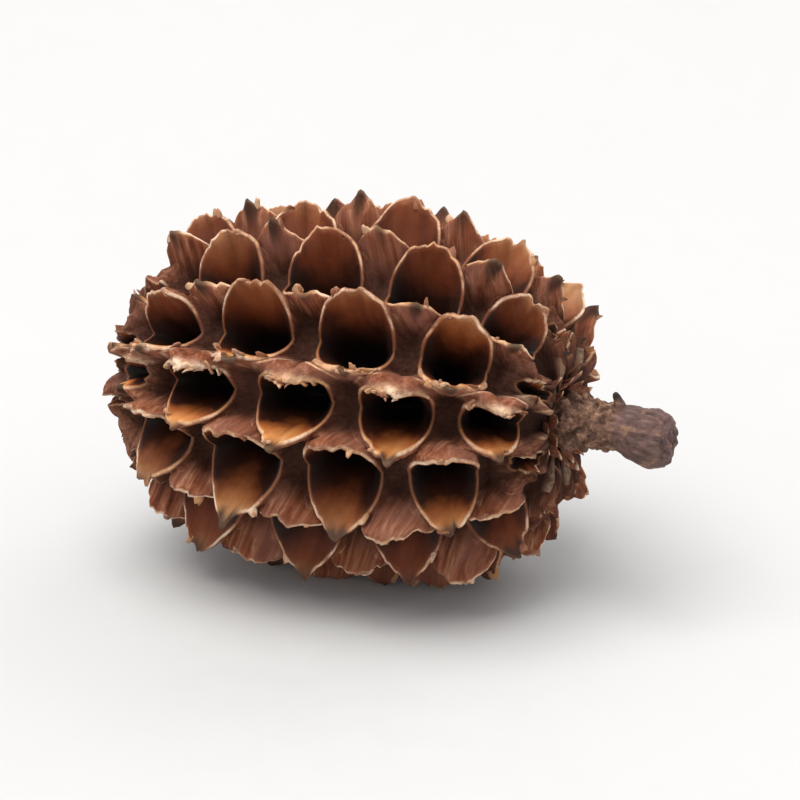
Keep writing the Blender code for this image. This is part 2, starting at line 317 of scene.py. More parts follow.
def outline_at(arc):
    """(x, radius, normal along x, normal outwards) of the barrel's profile at this arc length."""
    low, high = 0, len(OUTLINE) - 1
    while high - low > 1:
        middle = (low + high) // 2
        low, high = (middle, high) if OUTLINE[middle][0] < arc else (low, middle)
    (arc_0, x_0, r_0), (arc_1, x_1, r_1) = OUTLINE[low], OUTLINE[high]
    share = (arc - arc_0) / (arc_1 - arc_0)
    run, rise = (x_1 - x_0) / (arc_1 - arc_0), (r_1 - r_0) / (arc_1 - arc_0)
    return x_0 + share * (x_1 - x_0), r_0 + share * (r_1 - r_0), rise, -run


def whorl_arc(u):
    """How far along the barrel's profile a whorl lies. Whorls are further apart in the middle."""
    share = (u + 1) / (WHORLS + 1)
    eased = share - MIDDLE_STRETCH * math.sin(2 * math.pi * share) / (2 * math.pi)
    return STALK_END_ARC + eased * (OUTLINE[-1][0] - STALK_END_ARC - TIP_END_ARC)


def skin_point(u, v, height):
    """The point this high over the barrel's skin at lattice place (u, v). Row 0 runs along the bottom."""
    x, radius, along, outwards = outline_at(whorl_arc(u))
    nudged = v - ROW_NUDGE * bell(v % HALF_STEPS_ROUND - NUDGED_ROW, NUDGE_WIDTH)
    turn = 2 * math.pi * nudged / HALF_STEPS_ROUND - math.pi / 2 + ROLL
    reach = radius + height * outwards
    return Vector((x + height * along, reach * math.cos(turn), reach * math.sin(turn)))


def end_fade(u, at_ends):
    """A factor that is 1 along the middle of the barrel and falls to this value at its ends."""
    return 1 - (1 - at_ends) * abs(2 * (u + 1) / (WHORLS + 1) - 1) ** 4


def mix(a, b, share):
    return a + (b - a) * share


def smooth(low, high, value):
    """An eased step from 0 at the low end to 1 at the high one."""
    share = min(1.0, max(0.0, (value - low) / (high - low)))
    return share * share * (3 - 2 * share)


def bell(off, width):
    return math.exp(-((off / width) ** 2))


def hump(turn, middle, width):
    """A bell round a middle, for a turn on a circle."""
    return bell((turn - middle + math.pi) % (2 * math.pi) - math.pi, width)


def tip_turn(side):
    """Where the tip of a lip lies on the way round the mouth: the +v lip is side 0, the -v lip side 1."""
    return math.pi * (0.5 + side)


def chance_place(chance, reach):
    """A place in a noise, so that each thing gets its own part of the noise."""
    return Vector([chance.uniform(0, reach) for _ in range(3)])


def cell_edge(turn):
    """(du, dv, height) of a cell's hexagon at this turn round it. Turn 0 is at +u and a quarter at +v."""
    i = 8 * turn / math.pi
    step = abs((i + 4) % 8 - 4)
    share = max(0.0, step - 1) / 3
    du = 1 - share
    dv = mix(CELL_SHORT_EDGE, CELL_TIP, share) if step > 1 else CELL_SHORT_EDGE * step
    web = min(1.0, max(0.0, step - 1), max(0.0, 4 - step))
    height = mix(VALLEY_HEIGHT, WEB_HEIGHT, web)
    return math.copysign(du, math.cos(turn)), math.copysign(dv, math.sin(turn)), height


def mouth_edge(turn, length, width):
    """(du, dv) of a mouth: a full oval that nearly fills its cell."""
    du, dv = math.cos(turn), math.sin(turn)
    reach = (abs(du / length) ** MOUTH_POWER + abs(dv / width) ** MOUTH_POWER) ** (-1 / MOUTH_POWER)
    return du * reach, dv * reach


def crest(v):
    """How close a row is to the crest that runs along the cone, from 0 to 1."""
    return bell(v - CREST_ROW, CREST_WIDTH)


def web_height(u, v, height):
    """The height of a cell's edge at a lattice place, faded at the ends and uneven along the webs."""
    turn = 2 * math.pi * v / HALF_STEPS_ROUND
    uneven = WEB_UNEVEN * noise.noise(Vector((2.1 * u, 6 * math.cos(turn), 6 * math.sin(turn))))
    raised = CREST_RAISE * crest(v)
    return (height + (uneven + raised) * height / WEB_HEIGHT) * end_fade(u, END_VALLEY_SHARE)


class Fruit:
    """One fruit of a whorl. Its two lips have their own chance height, width, lean, beak and tears."""

    def __init__(self, whorl, place, chance, detail):
        self.u = whorl
        self.v = 2 * place + (whorl + 1) % 2
        size = end_fade(whorl, END_LIP_SHARE)
        radius = outline_at(whorl_arc(whorl))[1]
        self.size = size
        self.step = whorl_arc(whorl + 0.5) - whorl_arc(whorl - 0.5)
        self.half_turn = math.pi * radius / FRUITS_PER_WHORL
        self.depth = min(POCKET_DEPTH, POCKET_SHARE_OF_RADIUS * radius)
        self.heights = [size * chance.uniform(1 - HEIGHT_SPREAD, 1 + HEIGHT_SPREAD) for _ in range(2)]
        self.widths = [chance.uniform(1 - WIDTH_SPREAD, 1 + WIDTH_SPREAD) for _ in range(2)]
        self.leans = [chance.uniform(-LEAN_SPREAD, LEAN_SPREAD) for _ in range(2)]
        self.beaks = [detail.uniform(*ends) for ends in BEAK_RANGES]
        self.hooks = [detail.uniform(*ends) for ends in HOOK_RANGES]
        self.bulges = [detail.uniform(*BULGE_RANGE) for _ in range(2)]
        rows_from_bottom = abs((self.v + FRUITS_PER_WHORL) % HALF_STEPS_ROUND - FRUITS_PER_WHORL)
        # Painted shade near the floor: low lips lose their golden share and get broad dark tips.
        low = 1 - smooth(*LOW_ROWS, rows_from_bottom)
        near_stalk = 1 - smooth(*STALK_END_WHORLS, whorl)
        # The golden share is partly the lip's own tone and partly painted light: the +v lip is painted as
        # lit, the -v lip as in shade.
        golds = [detail.uniform(*ends) for ends in GOLD_AND_PAINTED_LIGHT_RANGES]
        self.gold = [golds[0] * (1 - LOW_PAINTED_SHADE * low), golds[1] + STALK_END_GOLD * near_stalk]
        self.tip_width = mix(*TIP_WIDTHS, low) * BEAK_WIDTH
        self.crest_wear_and_highlight = [crest(self.v + off) for off in (0.5, -0.5)]
        self.nicks = [
            self.nick(side, detail) for side in NICK_SIDES for _ in range(detail.choice(NICK_COUNTS))
        ]
        self.drift = chance_place(detail, 90)

    def nick(self, side, detail):
        """(turn, width, depth) of a nick in a lip's rim."""
        turn = tip_turn(side) + detail.uniform(*NICK_TURN_RANGE)
        return turn, detail.uniform(*NICK_WIDTH_RANGE), detail.uniform(*NICK_DEPTH_RANGE)

    def side(self, turn):
        return 0 if turn < math.pi else 1

    def floor_height(self):
        return -FLOOR_DEPTH * self.depth

    def crown_point(self, turn):
        """A point along the middle of the rim's thickness."""
        height = self.rim_height(turn) + CROWN_HEIGHT
        return self.ring(turn, 1.0, height, self.sway(turn, 1.0) - 0.5 * RIM_THICKNESS)

    def lip(self, turn):
        """How much of a lip's height the rim has here: 0 at the notches and 1 at the tips."""
        towards_notch = min(1.0, abs(math.cos(turn)))
        side = self.side(turn)
        return (1 - towards_notch ** LIP_SHARPNESS[side]) ** LIP_FULLNESS[side]

    def ripple(self, turn, fine, own_place):
        """Smooth chance noise round the mouth, between about -1 and 1."""
        place = Vector((math.cos(turn) * fine, math.sin(turn) * fine, own_place)) + self.drift
        return noise.noise(place) * RIPPLE_GAIN

    def tears(self, turn, rows):
        return sum(far * self.ripple(turn, fine, own_place) for far, fine, own_place in rows)

    def beak(self, turn):
        side = self.side(turn)
        return self.beaks[side] * hump(turn, tip_turn(side), BEAK_WIDTH)

    def ridge(self, turn, share):
        """How pale the ridge of the web at a cell's edge is: a thin line, and a band along the crest that
        is partly wear and partly painted highlight.
        """
        web = (cell_edge(turn)[2] - VALLEY_HEIGHT) / (WEB_HEIGHT - VALLEY_HEIGHT)
        crest_wear_and_highlight = self.crest_wear_and_highlight[self.side(turn)]
        return web * mix(*RIDGE_SHADES, crest_wear_and_highlight) * math.exp(-share / mix(*RIDGE_REACHES, crest_wear_and_highlight))

    def tip(self, turn):
        """How dark the lip is here, round the tip that its beak makes."""
        side = self.side(turn)
        return min(1.0, self.beaks[side] * hump(turn, tip_turn(side), self.tip_width))

    def rim_height(self, turn):
        side = self.side(turn)
        lip = self.lip(turn)
        notch = NOTCH_HEIGHT * end_fade(self.u, END_LIP_SHARE)
        height = notch + (LIP_HEIGHT * self.heights[side] - notch) * lip
        far, fine, own_place = RIM_DRIFT
        ragged = self.tears(turn, RIM_TEARS)
        ragged += far * min(RIM_DRIFT_LIMIT, self.ripple(turn, fine, own_place))
        nicked = sum(depth * hump(turn, middle, width) for middle, width, depth in self.nicks)
        return height + self.size * (BEAK_HEIGHT * self.beak(turn) + lip * (ragged - nicked))

    def ring(self, turn, scale, height, outwards=0.0):
        """A point of a ring round the mouth, scaled in towards its middle and then moved outwards."""
        side = self.side(turn)
        du, dv = mouth_edge(turn, MOUTH_HALF_LENGTH * scale, MOUTH_HALF_WIDTH * scale * self.widths[side])
        wide = math.hypot(du * self.step, dv * self.half_turn)
        keep = max(0.12, 1 + outwards / wide)
        lean = self.leans[side] * self.lip(turn) * max(0.0, height) / LIP_HEIGHT
        return self.u + du * keep + lean, self.v + dv * keep, height

    def sway(self, turn, share):
        """How far a lip stands out from its plain wall at this share of its height, in millimetres."""
        side = self.side(turn)
        lip = self.lip(turn)
        clear = smooth(0.4, 0.9, lip)
        bulge = LIP_BULGE * self.bulges[side] * math.sin(math.pi * share) * clear
        wave = self.tears(turn, (RIM_WAVE,)) * share * share * clear
        hook = self.hooks[side] * self.beak(turn) * share**4
        over = CREST_OVERHANG * self.crest_wear_and_highlight[1] * side * share**1.5 * clear
        return min(self.size * (bulge + wave + hook - over), self.room(turn))

    def room(self, turn):
        """How far a lip can stand out before it leaves its own cell, in millimetres at the skin."""
        side = self.side(turn)
        du, dv = mouth_edge(turn, MOUTH_HALF_LENGTH, MOUTH_HALF_WIDTH * self.widths[side])
        du, dv = abs(du), abs(dv)
        slope = CELL_TIP - CELL_SHORT_EDGE
        lean = abs(self.leans[side]) * self.lip(turn)
        most = min((CELL_TIP - slope * lean) / (dv + slope * du), (1 - lean) / max(du, 0.01))
        return (CELL_FILL * most - 1) * math.hypot(du * self.step, dv * self.half_turn)

    def outer_point(self, turn, share):
        """A point of the outside of the lips, from the cell's edge (share 0) to the rim (share 1)."""
        edge_u, edge_v, edge_height = cell_edge(turn)
        low = web_height(self.u + edge_u, self.v + edge_v, edge_height)
        height = mix(low, self.rim_height(turn), share**1.5)
        u, v, _ = self.ring(turn, 1.0, height, self.sway(turn, share))
        out = 1 - (1 - share) ** 2.4
        return mix(self.u + edge_u, u, out), mix(self.v + edge_v, v, out), height

    def inner_point(self, turn, share):
        """A point of the inside of the lips, from the rim (share 1) to the pocket's mouth (share 0)."""
        height = share * self.rim_height(turn)
        thick = mix(FOOT_THICKNESS, RIM_THICKNESS, share**1.5)
        return self.ring(turn, mix(MOUTH_SHARE, 1.0, share), height, self.sway(turn, share) - thick)

    def pocket_point(self, turn, share):
        """A point of the pocket's wall, from its mouth (share 0) to its floor (share 1)."""
        scale = mix(MOUTH_SHARE, FLOOR_SHARE, share**1.3)
        inset = FOOT_THICKNESS + FLOOR_INSET * smooth(0.8, 1.0, share)
        return self.ring(turn, scale, -self.depth * share, -inset)


class ClosedFruit(Fruit):
    """A low fruit at one end of the cone. Its lips are all but shut, with a short slit between them."""

    def rim_height(self, turn):
        side = self.side(turn)
        height = CLOSED_SCALE_HEIGHT * self.heights[side] * mix(CLOSED_RIM_SHARE, 1.0, self.lip(turn))
        return height + self.tears(turn, CLOSED_RIM_TEARS) + BEAK_HEIGHT * self.beak(turn)

    def slit(self, turn, scale, height):
        """A point of a ring round the slit between the lips."""
        side = self.side(turn)
        du, dv = mouth_edge(turn, SLIT_HALF_LENGTH * scale, SLIT_HALF_WIDTH * scale)
        gape = 1 + SLIT_GAPE * self.gold[side] + (HALF_OPEN_GAPE if self.u == HALF_OPEN_WHORL else 0.0)
        return self.u + du, self.v + dv * gape, height

    def outer_point(self, turn, share):
        edge_u, edge_v, edge_height = cell_edge(turn)
        low = web_height(self.u + edge_u, self.v + edge_v, edge_height)
        high = self.rim_height(turn)
        height = mix(low, high, math.sin(share * math.pi / 2) ** 1.4)
        u, v, _ = self.slit(turn, 1.0, height)
        out = mix(share, share**2.2, 0.55) if share < 1 else 1.0
        return mix(self.u + edge_u, u, out), mix(self.v + edge_v, v, out), height

    def crown_point(self, turn):
        return self.slit(turn, CLOSED_CROWN_WIDTH, self.rim_height(turn) + 0.8 * CROWN_HEIGHT)

    def inner_point(self, turn, share):
        height = self.rim_height(turn) * mix(*CLOSED_INNER_HEIGHTS, share)
        return self.slit(turn, mix(*CLOSED_INNER_WIDTHS, share), height)

    def pocket_point(self, turn, share):
        height = self.rim_height(turn) * mix(*CLOSED_POCKET_HEIGHTS, share)
        return self.slit(turn, mix(*CLOSED_POCKET_WIDTHS, share), height)

    def floor_height(self):
        return CLOSED_FLOOR_SHARE * CLOSED_SCALE_HEIGHT * self.size


class Skin:
    """Collects the points and faces of a piece of the cone's head, and the marks that its material reads.

    The marks say how far a point is inside a lip, on a rim's edge, down in a pocket, golden, on a lip's
    dark tip, and up from the barrel's skin. The material paints shade from the depth in a pocket and from
    a low rise, and the golden mark is partly the lips' own tone and partly painted light.
    """

    MARKS = ("inside", "edge", "depth", "gold", "tip", "rise")

    def __init__(self):
        self.points = []
        self.faces = []
        self.marks = {name: [] for name in self.MARKS}
        self.shared = {}

    def add_point(self, point, **marks):
        self.points.append(point)
        for name in self.MARKS:
            self.marks[name].append(marks.get(name, 0.0))
        return len(self.points) - 1

    def add(self, place, **marks):
        """Adds the point at a place of the lattice: (u, v, height)."""
        return self.add_point(skin_point(*place), rise=place[2] / LIP_HEIGHT, **marks)

    def add_shared(self, place, **marks):
        """Adds a point of a cell's edge, once for all the cells that meet there."""
        u, v, _ = place
        key = (round(KEYS_PER_UNIT * u), round(KEYS_PER_UNIT * v) % (KEYS_PER_UNIT * HALF_STEPS_ROUND))
        if key not in self.shared:
            self.shared[key] = self.add(place, **marks)
        return self.shared[key]

    def band(self, outer, inner):
        count = len(outer)
        for i in range(count):
            j = (i + 1) % count
            self.faces.append((outer[i], outer[j], inner[j], inner[i]))

    def tube(self, loops):
        """Joins loops of points into a tube that is closed at both ends."""
        for loop, after in zip(loops, loops[1:]):
            self.band(loop, after)
        self.faces += [tuple(loops[0]), tuple(loops[-1])]

    def add_fruit(self, fruit):
        turns = [2 * math.pi * i / POINTS_ROUND for i in range(POINTS_ROUND)]
        golds = [mix(0.4, fruit.gold[fruit.side(t)], min(1, 2 * fruit.lip(t))) for t in turns]
        tips = [fruit.tip(t) for t in turns]
        rims = [smooth(0.1, 0.6, fruit.lip(t)) for t in turns]
        # Along the crest the pale rim reaches far down the outside: partly wear and partly painted
        # highlight.
        reaches = [mix(*RIM_REACHES, fruit.crest_wear_and_highlight[fruit.side(t)]) for t in turns]
        rings = []
        for share in OUTER_SHARES:
            add = self.add_shared if share == 0 else self.add
            away = [(1 - share) * fruit.rim_height(t) for t in turns]
            edges = [
                max(rim * math.exp(-off / reach), fruit.ridge(t, share))
                for t, rim, off, reach in zip(turns, rims, away, reaches)
            ]
            rings.append([
                add(fruit.outer_point(t, share), edge=edge, gold=c, tip=tip * share**2)
                for t, edge, c, tip in zip(turns, edges, golds, tips)
            ])
        rings.append([
            self.add(fruit.crown_point(t), inside=0.5, edge=rim, gold=c, tip=tip)
            for t, rim, c, tip in zip(turns, rims, golds, tips)
        ])
        # The depth mark sets painted shade inside: darker down the inside of the lips, at the notches
        # between them, and in the pockets.
        for share in INNER_SHARES:
            away = [(1 - share) * fruit.rim_height(t) for t in turns]
            rings.append([
                self.add(
                    fruit.inner_point(t, share), inside=1.0, gold=c, tip=tip * share**4,
                    edge=rim * math.exp(-off / RIM_REACHES[0]),
                    depth=mix(0.7, 0.5 * (1 - share), fruit.lip(t))
                )
                for t, off, rim, c, tip in zip(turns, away, rims, golds, tips)
            ])
        for share in POCKET_SHARES:
            rings.append([
                self.add(fruit.pocket_point(t, share), inside=1.0, gold=c, depth=0.5 + 0.5 * share)
                for t, c in zip(turns, golds)
            ])
        for outer, inner in zip(rings, rings[1:]):
            self.band(outer, inner)
        floor = self.add((fruit.u, fruit.v, fruit.floor_height()), inside=1.0, depth=1.0, gold=0.5)
        last = rings[-1]
        for i in range(POINTS_ROUND):
            self.faces.append((last[i], last[(i + 1) % POINTS_ROUND], floor))

    def add_shred(self, fruit, turn, chance):
        """A torn flake with its root sunk in a lip's rim, and its end drawn out and curled."""
        length = chance.uniform(*SHRED_LENGTHS) * fruit.size
        curl = chance.uniform(*SHRED_CURLS)
        slant = chance.uniform(*SHRED_SLANTS)
        width = chance.uniform(*SHRED_WIDTHS)
        base = min(fruit.rim_height(turn), SHRED_HEIGHT_LIMIT - length) - SHRED_ROOT
        inside, edge, gold = chance.uniform(0.0, 0.6), chance.uniform(0.2, 0.8), chance.random()
        ends = [chance.uniform(*SHRED_ENDS) for _ in range(3)]
        loops = []
        for i in range(SHRED_STEPS + 1):
            share = i / SHRED_STEPS
            half = width * (1 - SHRED_NARROWING * share**2.5)
            thick = mix(*SHRED_THICKNESS, share)
            out = fruit.sway(turn, 1.0) - 0.5 * RIM_THICKNESS + curl * share * share
            heights = [base + (length + SHRED_ROOT) * share + end * share**3 for end in ends]
            middle = turn + slant * share
            corners = [(k, out + thick) for k in (-1, 0, 1)] + [(k, out - thick) for k in (1, 0, -1)]
            places = [fruit.ring(middle + k * half, 1.0, heights[k + 1], off) for k, off in corners]
            loops.append([self.add(place, inside=inside, edge=edge, gold=gold) for place in places])
        self.tube(loops)

    def add_scale(self, foot, up, out, size, chance):
        """A small crumpled scale that stands up from its foot and bends outwards."""
        across = up.cross(out).normalized()
        bend = size * chance.uniform(*SCALE_BENDS)
        broad = size * chance.uniform(*SCALE_WIDTHS)
        drift = chance_place(chance, 50)
        loops = []
        for i in range(SCALE_STEPS + 1):
            share = i / SCALE_STEPS
            width = broad * (1.12 - share**4)
            thick = size * mix(*SCALE_THICKNESS, share)
            middle = foot + up * (SCALE_LENGTH * size * share) + out * (bend * share * share)
            edge = smooth(0.72, 1.0, share) * 0.9
            rise = mix(0.55, 1.0, share)
            loop = []
            for k in range(SCALE_SIDES):
                turn = 2 * math.pi * k / SCALE_SIDES
                cup = SCALE_CUP * width * math.cos(turn) ** 2 * share
                point = middle + across * (width * math.cos(turn)) + out * (thick * math.sin(turn) - cup)
                crumple = noise.noise_vector(point * 1.3 / size + drift) * SCALE_CRUMPLE * size
                loop.append(self.add_point(point + crumple, edge=edge, rise=rise, gold=0.2))
            loops.append(loop)
        self.tube(loops)

    def mesh(self):
        """A mesh of all that was collected, as a bmesh that carries the marks."""
        mesh = bpy.data.meshes.new("skin")
        mesh.from_pydata(self.points, [], self.faces)
        for name, values in self.marks.items():
            mesh.attributes.new(name, "FLOAT", "POINT").data.foreach_set("value", values)
        bm = bmesh.new()
        bm.from_mesh(mesh)
        bpy.data.meshes.remove(mesh)
        return bm


def mesh_object(name, bm):
    mesh = bpy.data.meshes.new(name)
    bm.to_mesh(mesh)
    bm.free()
    mesh.shade_smooth()
    made = bpy.data.objects.new(name, mesh)
    bpy.context.scene.collection.objects.link(made)
    return made


def piece(name, bm):
    """A piece of the cone, brought from millimetres in the barrel's frame to metres in the row frame."""
    bmesh.ops.recalc_face_normals(bm, faces=bm.faces)
    made = mesh_object(name, bm)
    made.data.transform(Matrix.Scale(MM, 4) @ Matrix.Translation(BARREL_PLACE))
    return made


def open_loop(bm, at_stalk):
    return [e for e in bm.edges if e.is_boundary and (e.verts[0].co.x > 0) == at_stalk]


def extrude_loop(bm, edges, x, radius):
    """Extrudes an open loop onto a circle round the axis, or onto the axis itself."""
    made = bmesh.ops.extrude_edge_only(bm, edges=edges)["geom"]
    for vert in (g for g in made if isinstance(g, bmesh.types.BMVert)):
        turn = math.atan2(vert.co.z, vert.co.y)
        vert.co = (x, radius * math.cos(turn), radius * math.sin(turn))
    return [g for g in made if isinstance(g, bmesh.types.BMEdge)]


def close_ends(bm):
    """A socket for the stalk at one end, and a blunt point at the other."""
    edges = extrude_loop(bm, open_loop(bm, True), BARREL_HALF_LENGTH, SOCKET_RADIUS)
    edges = extrude_loop(bm, edges, BARREL_HALF_LENGTH - SOCKET_DEPTH, SOCKET_RADIUS)
    bmesh.ops.contextual_create(bm, geom=edges)
    edges = extrude_loop(bm, open_loop(bm, False), -BARREL_HALF_LENGTH - TIP_POINT, 0.0)
    verts = list(dict.fromkeys(vert for edge in edges for vert in edge.verts))
    bmesh.ops.pointmerge(bm, verts=verts, merge_co=verts[0].co.copy())


def press_on_floor(bm):
    """The lowest lips are pressed blunt where the cone lies on them, and none goes below the floor."""
    ground = -BARREL_PLACE.z
    for vert in bm.verts:
        over = vert.co.z - ground
        if over < FLOOR_EASE:
            vert.co.z = ground + FLOOR_EASE * math.exp((over - FLOOR_EASE) / FLOOR_EASE)


def grown_fruits():
    """All the fruits. One chance draws what the CAD draws too, the other what only the looks need."""
    chance = random.Random(SEED)
    detail = random.Random(SEED + 1)
    fruits = []
    for whorl in range(WHORLS):
        kind = ClosedFruit if whorl in CLOSED_WHORLS else Fruit
        fruits += [kind(whorl, place, chance, detail) for place in range(FRUITS_PER_WHORL)]
    return fruits


def cone_lips(fruits):
    """The whole skin of the cone's head."""
    skin = Skin()
    for fruit in fruits:
        skin.add_fruit(fruit)
    bm = skin.mesh()
    close_ends(bm)
    press_on_floor(bm)
    return piece("cone_lips", bm)


def rim_shreds(fruits):
    """The torn flakes on the rims, most of them where two rims stand back to back."""
    chance = random.Random(SEED + 3)
    skin = Skin()
    for fruit in fruits:
        if isinstance(fruit, ClosedFruit):
            continue
        for side in range(2):
            crest_wear_and_highlight = fruit.crest_wear_and_highlight[side]
            for _ in range(round(mix(SHREDS_PER_LIP, CREST_SHREDS_PER_LIP, crest_wear_and_highlight))):
                off = chance.choice((-1, 1)) * chance.uniform(0.15, mix(0.75, 1.1, crest_wear_and_highlight))
                skin.add_shred(fruit, tip_turn(side) + off, chance)
    bm = skin.mesh()
    press_on_floor(bm)
    return piece("rim_shreds", bm)


def end_scales():
    """The small crumpled scales at the cone's tip and round the foot of its stalk."""
    # Vector noise is shifted by a seed of its own, which would otherwise come from the clock.
    noise.seed_set(SEED)
    chance = random.Random(SEED + 4)
    skin = Skin()
    for end, rings in ((-1, TIP_SCALE_RINGS), (1, STALK_SCALE_RINGS)):
        for count, reach, x, size in rings:
            for i in range(count):
                turn = 2 * math.pi * (i + chance.uniform(-0.25, 0.25)) / count + reach
                out = Vector((0.0, math.cos(turn), math.sin(turn)))
                foot = Vector((end * x, 0.0, 0.0)) + out * reach * chance.uniform(0.92, 1.08)
                up = Vector((end, 0.0, 0.0)) + out * (0.35 * reach - 0.3)
                skin.add_scale(foot, up.normalized(), out, size * chance.uniform(*SCALE_SIZES), chance)
    return piece("end_scales", skin.mesh())


def stalk_shape(x):
    """(y, z, radius) of the stalk at this x along the cone's axis."""
    share = min(1.0, max(0.0, (x - STALK_ROOT) / STALK_LENGTH))
    for row, after in zip(STALK_ROWS, STALK_ROWS[1:]):
        if share <= after[0]:
            part = (share - row[0]) / (after[0] - row[0])
            eased = mix(part, smooth(0, 1, part), 0.6)
            return tuple(mix(a, b, eased) for a, b in zip(row[1:], after[1:]))
    return STALK_ROWS[-1][1:]


def stalk_tube():
    """The stalk's own wood: a tube with a blunt broken end."""
    bm = bmesh.new()
    rings = []
    for i in range(STALK_RINGS + 1):
        x = STALK_ROOT + STALK_LENGTH * i / STALK_RINGS
        y, z, radius = stalk_shape(x)
        ring = []
        for k in range(STALK_SIDES):
            turn = 2 * math.pi * k / STALK_SIDES
            lump = noise.noise(Vector((x * 0.9, math.cos(turn), math.sin(turn))))
            lumpy = radius * (1 + STALK_LUMPS * lump)
            ring.append(bm.verts.new((x, y + lumpy * math.cos(turn), z + lumpy * math.sin(turn))))
        rings.append(ring)
    for ring, after in zip(rings, rings[1:]):
        for k in range(STALK_SIDES):
            j = (k + 1) % STALK_SIDES
            bm.faces.new((ring[k], ring[j], after[j], after[k]))
    bm.faces.new(list(reversed(rings[0])))
    bm.faces.new(rings[-1])
    return bm


def add_stub(bm, place, size, turn, chance):
    """A worn stub of a scale, leaning towards the stalk's end."""
    made = bmesh.ops.create_icosphere(bm, subdivisions=2, radius=size)["verts"]
    drift = chance_place(chance, 50)
    spin = Matrix.Rotation(turn, 4, "X") @ Matrix.Rotation(chance.uniform(*STUB_LEANS), 4, "Y")
    for vert in made:
        rough = 1 + STUB_ROUGHNESS * noise.noise(vert.co * 1.6 / size + drift)
        stretched = Vector([along * stretch for along, stretch in zip(vert.co, STUB_STRETCH)])
        vert.co = place + spin @ (stretched * rough)


def add_stubs(bm):
    """The worn stubs of scales round the stalk's neck, set out on a spiral."""
    chance = random.Random(SEED + 2)
    golden_turn = math.pi * (3 - math.sqrt(5))
    for i in range(STUBS):
        x = mix(STUBS_FROM, STUBS_TO, ((i + 0.5) / STUBS) ** 1.15)
        y, z, radius = stalk_shape(x)
        turn = i * golden_turn + chance.uniform(-0.3, 0.3)
        size = STUB_SIZE * chance.uniform(*STUB_SIZES) * mix(1.0, 0.6, i / STUBS)
        reach = radius + 0.15 * size
        place = Vector((x, y + reach * math.cos(turn), z + reach * math.sin(turn)))
        add_stub(bm, place, size, math.pi / 2 - turn, chance)


def add_twig_foot(bm):
    """The dark broken foot of a side twig."""
    made = bmesh.ops.create_cone(
        bm, cap_ends=True, segments=10, radius1=TWIG_FOOT, radius2=TWIG_TIP, depth=TWIG_LENGTH
    )["verts"]
    lean = Matrix.Rotation(TWIG_TILT, 4, "Y") @ Matrix.Rotation(TWIG_ROLL, 4, "X")
    bmesh.ops.transform(bm, matrix=Matrix.Translation(TWIG_PLACE) @ lean, verts=made)


def smooth_skin(bm, factor):
    bmesh.ops.smooth_vert(
        bm, verts=bm.verts, factor=factor, use_axis_x=True, use_axis_y=True, use_axis_z=True
    )


def fused(bm, name, voxel):
    """One closed skin round all the shapes of a mesh, by a voxel remesh."""
    rough = mesh_object(name + "_rough", bm)
    remesh = rough.modifiers.new("fuse", "REMESH")
    remesh.mode = "VOXEL"
    remesh.voxel_size = voxel
    graph = bpy.context.evaluated_depsgraph_get()
    mesh = bpy.data.meshes.new_from_object(rough.evaluated_get(graph))
    bpy.data.objects.remove(rough)
    bm = bmesh.new()
    bm.from_mesh(mesh)
    bpy.data.meshes.remove(mesh)
    smooth_skin(bm, 0.5)
    return bm


def roughen_bark(bm):
    """Long shallow furrows and small pits in the bark, and splinters on the broken end."""
    bm.normal_update()
    stalk_end = STALK_ROOT + STALK_LENGTH
    moves = []
    for vert in bm.verts:
        x, y, z = vert.co
        centre_y, centre_z, _ = stalk_shape(x)
        turn = math.atan2(z - centre_z, y - centre_y)
        along = Vector((x * 0.55, 3.4 * math.cos(turn), 3.4 * math.sin(turn)))
        furrow = abs(noise.noise(along)) * 2 - 0.5
        move = FURROW_DEPTH * furrow + PIT_DEPTH * noise.noise(vert.co * 2.6)
        broken = smooth(stalk_end - BROKEN_LENGTH, stalk_end, x)
        splinter = SPLINTERS * noise.noise(Vector((3.0, y * 2.1, z * 2.1))) + SPLINTER_BASE
        moves.append(vert.normal * move * (1 - broken) + Vector((splinter * broken, 0, 0)))
    for vert, move in zip(bm.verts, moves):
        vert.co += move
    for _ in range(2):
        smooth_skin(bm, 0.4)


def stalk_wood():
    """The stalk, with marks for its stubbly neck and for the foot of the side twig."""
    bm = stalk_tube()
    add_stubs(bm)
    add_twig_foot(bm)
    bm = fused(bm, "stalk_wood", STALK_VOXEL)
    roughen_bark(bm)
    neck = bm.verts.layers.float.new("neck")
    twig = bm.verts.layers.float.new("twig")
    for vert in bm.verts:
        vert[neck] = 1 - smooth(STUBS_TO - 0.6, STUBS_TO + 0.7, vert.co.x)
        _, z, radius = stalk_shape(vert.co.x)
        vert[twig] = smooth(radius + 0.25, radius + 0.8, vert.co.z - z)
    return piece("stalk_wood", bm)


def srgb(red, green, blue):
    """A colour given as it shows on a screen, from 0 to 255."""
    def linear(value):
        value /= 255
        return value / 12.92 if value <= 0.04045 else ((value + 0.055) / 1.055) ** 2.4
    return linear(red), linear(green), linear(blue), 1.0


